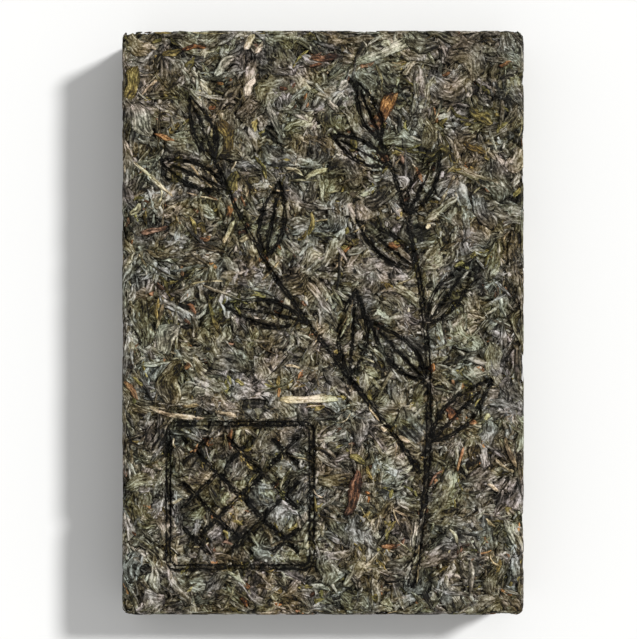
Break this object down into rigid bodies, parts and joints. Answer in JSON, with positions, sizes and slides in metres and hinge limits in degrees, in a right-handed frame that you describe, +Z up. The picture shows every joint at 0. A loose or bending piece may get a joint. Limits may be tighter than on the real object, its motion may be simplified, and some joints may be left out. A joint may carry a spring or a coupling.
{
  "type": "pressed tea brick",
  "caption": "Rectangular slab of tightly pressed, twisted tea leaves and stems, with a pressed leaf sprig and a trellis panel on its top face; it lies flat on its plain back.",
  "frame": {"origin": "middle of the flat underside that the brick rests on", "axes": "+Z up through the thickness, out of the decorated face; +Y along the length, towards the top of the decoration; +X across the width, to the right of the decoration"},
  "size_m": [0.165, 0.2399, 0.03],
  "materials": {
    "pressed_tea": "dry, matte to faintly satin compressed tea leaf, grey-olive brown",
    "pale_stem": "dry straw-coloured stem, matte",
    "olive_leaf": "dry olive to yellowish leaf, matte",
    "russet_leaf": "dry russet-brown leaf, matte",
    "silver_bud": "dry downy bud, silvery and soft"
  },
  "bodies": {
    "root": {"tea_brick": "pressed_tea"}
  },
  "joints": []
}
